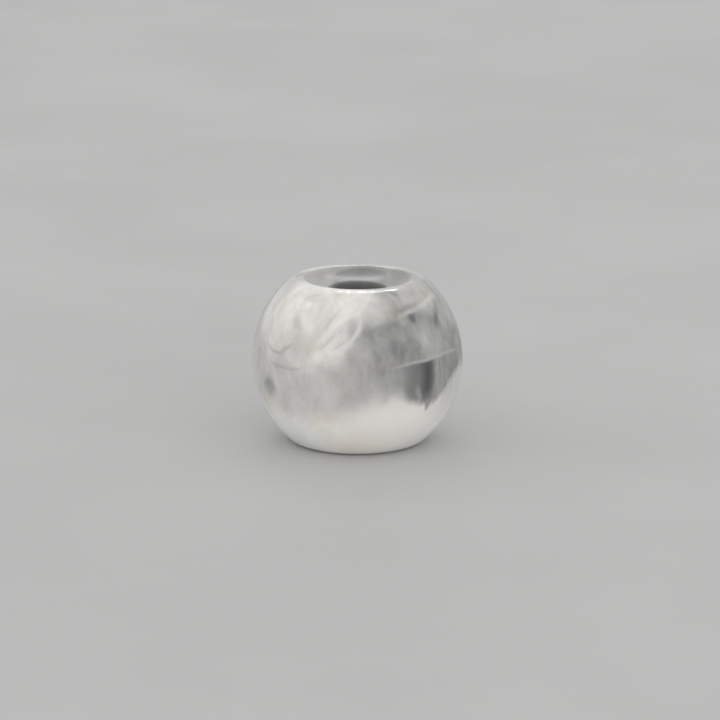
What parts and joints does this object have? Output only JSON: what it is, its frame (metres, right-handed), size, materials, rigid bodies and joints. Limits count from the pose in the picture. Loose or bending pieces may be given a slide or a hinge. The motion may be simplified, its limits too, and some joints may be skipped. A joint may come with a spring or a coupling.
{
  "type": "large-hole bead",
  "caption": "Round bead of clear resin marbled with white, flattened at both ends, with a dished stringing hole through its middle.",
  "frame": {"origin": "centre of the bead, on the axis of the stringing hole and midway between the two flat ends", "axes": "+Z along the stringing hole, -Y towards the side with the white cloud and the fine streams"},
  "size_m": [0.015, 0.015, 0.0118],
  "materials": {
    "clear_resin": "polished, cloudy",
    "white_resin": "polished, milky"
  },
  "bodies": {
    "root": {"clear_resin_body": "clear_resin", "white_base_pour": "white_resin", "white_cloud_stream": "white_resin", "white_curl_stream": "white_resin", "white_centre_stream": "white_resin", "white_fold_stream": "white_resin", "white_thread_stream": "white_resin"}
  },
  "joints": []
}
